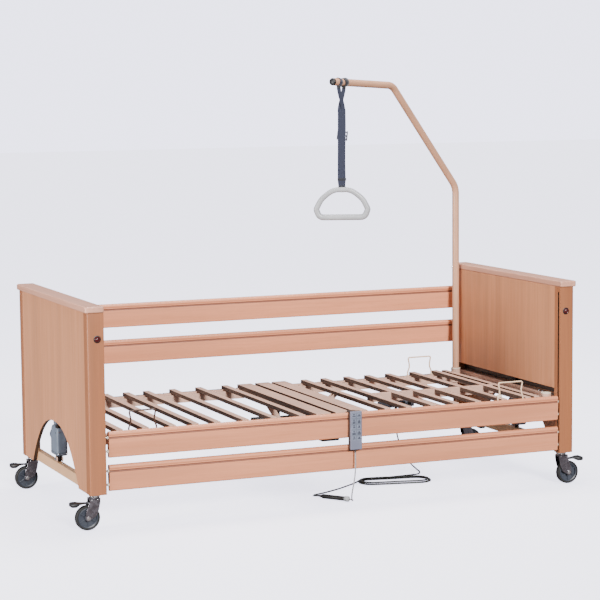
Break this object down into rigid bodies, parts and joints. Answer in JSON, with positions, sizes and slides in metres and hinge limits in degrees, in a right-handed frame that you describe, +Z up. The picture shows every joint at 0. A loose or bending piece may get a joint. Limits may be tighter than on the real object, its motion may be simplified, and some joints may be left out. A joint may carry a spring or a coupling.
{
  "type": "adjustable hospital bed",
  "caption": "Adjustable home-care bed with wooden end boards, slatted tilting sections, sliding side rails, castors and a lifting pole with a hand grip.",
  "frame": {"origin": "on the floor, under the middle of the bed", "axes": "+X runs along the bed to the head end, -Y is the near side with the lowered rails, +Z is up"},
  "size_m": [2.319, 1.0355, 1.7701],
  "materials": {
    "board_wood": "clear-lacquered beech laminate, satin",
    "cap_wood": "solid beech, satin lacquer",
    "post_wood": "beech, satin lacquer",
    "rail_wood": "solid beech, satin lacquer",
    "beige_steel": "beige powder coat, satin",
    "dark_steel": "dark ground steel",
    "zinc_steel": "bright zinc plate",
    "motor_plastic": "fine-grained moulded plastic",
    "drive_plastic": "fine-grained moulded plastic",
    "button_plastic": "smooth moulded plastic",
    "pedal_plastic": "moulded plastic",
    "tyre_rubber": "matt rubber tyre on a grey-blue plastic hub",
    "grip_plastic": "pale moulded plastic",
    "handset_plastic": "moulded plastic with a membrane key field",
    "connector_plastic": "moulded plastic",
    "cord_rubber": "smooth cable sheath",
    "webbing": "woven polyester webbing"
  },
  "bodies": {
    "chassis": {"foot_chassis": "beige_steel", "head_chassis": "beige_steel", "foot_lift_rod": "dark_steel", "head_lift_rod": "dark_steel", "cord_connector": "connector_plastic", "lead_cord": "cord_rubber", "lead_hank": "cord_rubber"},
    "platform": {"base_frame": "beige_steel", "back_drive": "drive_plastic", "leg_drive": "drive_plastic", "control_box": "motor_plastic", "handset_cord": "cord_rubber", "lead_riser": "cord_rubber", "foot_board_panel": "board_wood", "foot_board_cladding": "board_wood", "foot_board_cap": "cap_wood", "foot_lift_motor": "motor_plastic", "foot_lift_beam": "beige_steel", "foot_near_post": "post_wood", "foot_far_post": "post_wood", "head_board_panel": "board_wood", "head_board_cladding": "board_wood", "head_board_cap": "cap_wood", "head_lift_motor": "motor_plastic", "head_lift_beam": "beige_steel", "head_near_post": "post_wood", "head_far_post": "post_wood"},
    "backrest": {"back_section": "beige_steel", "head_near_retainer": "beige_steel", "head_far_retainer": "beige_steel"},
    "thigh_rest": {"thigh_section": "beige_steel"},
    "calf_rest": {"calf_section": "beige_steel", "foot_near_retainer": "beige_steel", "foot_far_retainer": "beige_steel"},
    "back_rod": {"back_drive_rod": "zinc_steel"},
    "leg_rod": {"leg_drive_rod": "zinc_steel"},
    "near_upper": {"near_upper_rail": "rail_wood", "handset": "handset_plastic"},
    "near_lower": {"near_lower_rail": "rail_wood"},
    "far_upper": {"far_upper_rail": "rail_wood"},
    "far_lower": {"far_lower_rail": "rail_wood"},
    "pole": {"lifting_pole": "beige_steel"},
    "grip": {"grip_strap": "webbing", "hand_grip": "grip_plastic"},
    "foot_near_button": {"foot_near_button": "button_plastic"},
    "foot_near_swivel": {"foot_near_fork": "zinc_steel"},
    "foot_near_wheel": {"foot_near_wheel": "tyre_rubber"},
    "foot_near_pedal": {"foot_near_pedal": "pedal_plastic"},
    "foot_far_button": {"foot_far_button": "button_plastic"},
    "foot_far_swivel": {"foot_far_fork": "zinc_steel"},
    "foot_far_wheel": {"foot_far_wheel": "tyre_rubber"},
    "foot_far_pedal": {"foot_far_pedal": "pedal_plastic"},
    "head_near_button": {"head_near_button": "button_plastic"},
    "head_near_swivel": {"head_near_fork": "zinc_steel"},
    "head_near_wheel": {"head_near_wheel": "tyre_rubber"},
    "head_near_pedal": {"head_near_pedal": "pedal_plastic"},
    "head_far_button": {"head_far_button": "button_plastic"},
    "head_far_swivel": {"head_far_fork": "zinc_steel"},
    "head_far_wheel": {"head_far_wheel": "tyre_rubber"},
    "head_far_pedal": {"head_far_pedal": "pedal_plastic"}
  },
  "joints": [
    {"name": "height_lift", "type": "slide", "parent": "chassis", "child": "platform", "axis": [0, 0, 1], "range_m": [0, 0.4]},
    {"name": "backrest_tilt", "type": "hinge", "parent": "platform", "child": "backrest", "pos_m": [0.175, 0, 0.3645], "axis": [0, -1, 0], "range_deg": [0, 70]},
    {"name": "back_rod_slide", "type": "slide", "parent": "platform", "child": "back_rod", "axis": [1, 0, 0], "range_m": [0, 0.115]},
    {"name": "thigh_tilt", "type": "hinge", "parent": "platform", "child": "thigh_rest", "pos_m": [-0.125, 0, 0.3645], "axis": [0, 1, 0], "range_deg": [0, 35]},
    {"name": "knee_fold", "type": "hinge", "parent": "thigh_rest", "child": "calf_rest", "pos_m": [-0.475, 0, 0.3645], "axis": [0, -1, 0], "range_deg": [0, 56.2]},
    {"name": "leg_rod_slide", "type": "slide", "parent": "platform", "child": "leg_rod", "axis": [-1, 0, 0], "range_m": [0, 0.0605]},
    {"name": "near_upper_slide", "type": "slide", "parent": "platform", "child": "near_upper", "axis": [0, 0, 1], "range_m": [0, 0.3905]},
    {"name": "near_lower_slide", "type": "slide", "parent": "platform", "child": "near_lower", "axis": [0, 0, 1], "range_m": [0, 0.364]},
    {"name": "far_upper_slide", "type": "slide", "parent": "platform", "child": "far_upper", "axis": [0, 0, 1], "range_m": [-0.3905, 0]},
    {"name": "far_lower_slide", "type": "slide", "parent": "platform", "child": "far_lower", "axis": [0, 0, 1], "range_m": [-0.364, 0]},
    {"name": "pole_swivel", "type": "hinge", "parent": "platform", "child": "pole", "pos_m": [0.9975, 0.425, 0.305], "axis": [0, 0, 1], "range_deg": [-60, 30]},
    {"name": "grip_swing", "type": "hinge", "parent": "pole", "child": "grip", "pos_m": [0.23709, 0.02981, 1.74819], "axis": [0.8849, 0.4635, -0.0468], "range_deg": [-45, 45]},
    {"name": "foot_near_castor_swivel", "type": "hinge", "parent": "chassis", "child": "foot_near_swivel", "pos_m": [-1.0585, -0.45, 0.145], "axis": [0, 0, 1], "continuous": true},
    {"name": "foot_near_wheel_roll", "type": "hinge", "parent": "foot_near_swivel", "child": "foot_near_wheel", "pos_m": [-1.0895, -0.45, 0.05], "axis": [0, 1, 0], "continuous": true},
    {"name": "foot_near_brake_pedal", "type": "hinge", "parent": "foot_near_swivel", "child": "foot_near_pedal", "pos_m": [-1.085, -0.45, 0.109], "axis": [0, 1, 0], "range_deg": [0, 12]},
    {"name": "foot_near_release_button", "type": "slide", "parent": "platform", "child": "foot_near_button", "axis": [0, 1, 0], "range_m": [0, 0.004], "stiffness_N_per_m": 500},
    {"name": "foot_far_castor_swivel", "type": "hinge", "parent": "chassis", "child": "foot_far_swivel", "pos_m": [-1.0585, 0.45, 0.145], "axis": [0, 0, 1], "continuous": true},
    {"name": "foot_far_wheel_roll", "type": "hinge", "parent": "foot_far_swivel", "child": "foot_far_wheel", "pos_m": [-1.0895, 0.45, 0.05], "axis": [0, 1, 0], "continuous": true},
    {"name": "foot_far_brake_pedal", "type": "hinge", "parent": "foot_far_swivel", "child": "foot_far_pedal", "pos_m": [-1.085, 0.45, 0.109], "axis": [0, 1, 0], "range_deg": [0, 12]},
    {"name": "foot_far_release_button", "type": "slide", "parent": "platform", "child": "foot_far_button", "axis": [0, -1, 0], "range_m": [0, 0.004], "stiffness_N_per_m": 500},
    {"name": "head_near_castor_swivel", "type": "hinge", "parent": "chassis", "child": "head_near_swivel", "pos_m": [1.0585, -0.45, 0.145], "axis": [0, 0, 1], "continuous": true},
    {"name": "head_near_wheel_roll", "type": "hinge", "parent": "head_near_swivel", "child": "head_near_wheel", "pos_m": [1.0895, -0.45, 0.05], "axis": [0, 1, 0], "continuous": true},
    {"name": "head_near_brake_pedal", "type": "hinge", "parent": "head_near_swivel", "child": "head_near_pedal", "pos_m": [1.085, -0.45, 0.109], "axis": [0, -1, 0], "range_deg": [0, 12]},
    {"name": "head_near_release_button", "type": "slide", "parent": "platform", "child": "head_near_button", "axis": [0, 1, 0], "range_m": [0, 0.004], "stiffness_N_per_m": 500},
    {"name": "head_far_castor_swivel", "type": "hinge", "parent": "chassis", "child": "head_far_swivel", "pos_m": [1.0585, 0.45, 0.145], "axis": [0, 0, 1], "continuous": true},
    {"name": "head_far_wheel_roll", "type": "hinge", "parent": "head_far_swivel", "child": "head_far_wheel", "pos_m": [1.0895, 0.45, 0.05], "axis": [0, 1, 0], "continuous": true},
    {"name": "head_far_brake_pedal", "type": "hinge", "parent": "head_far_swivel", "child": "head_far_pedal", "pos_m": [1.085, 0.45, 0.109], "axis": [0, -1, 0], "range_deg": [0, 12]},
    {"name": "head_far_release_button", "type": "slide", "parent": "platform", "child": "head_far_button", "axis": [0, -1, 0], "range_m": [0, 0.004], "stiffness_N_per_m": 500}
  ],
  "couplings": [
    {"joint": "back_rod_slide", "follows": "backrest_tilt", "m_per_rad": 0.0939},
    {"joint": "knee_fold", "follows": "thigh_tilt", "ratio": 1.6},
    {"joint": "leg_rod_slide", "follows": "thigh_tilt", "m_per_rad": 0.09845},
    {"joint": "near_lower_slide", "follows": "near_upper_slide", "ratio": 0.93086},
    {"joint": "far_lower_slide", "follows": "far_upper_slide", "ratio": 0.93086}
  ]
}
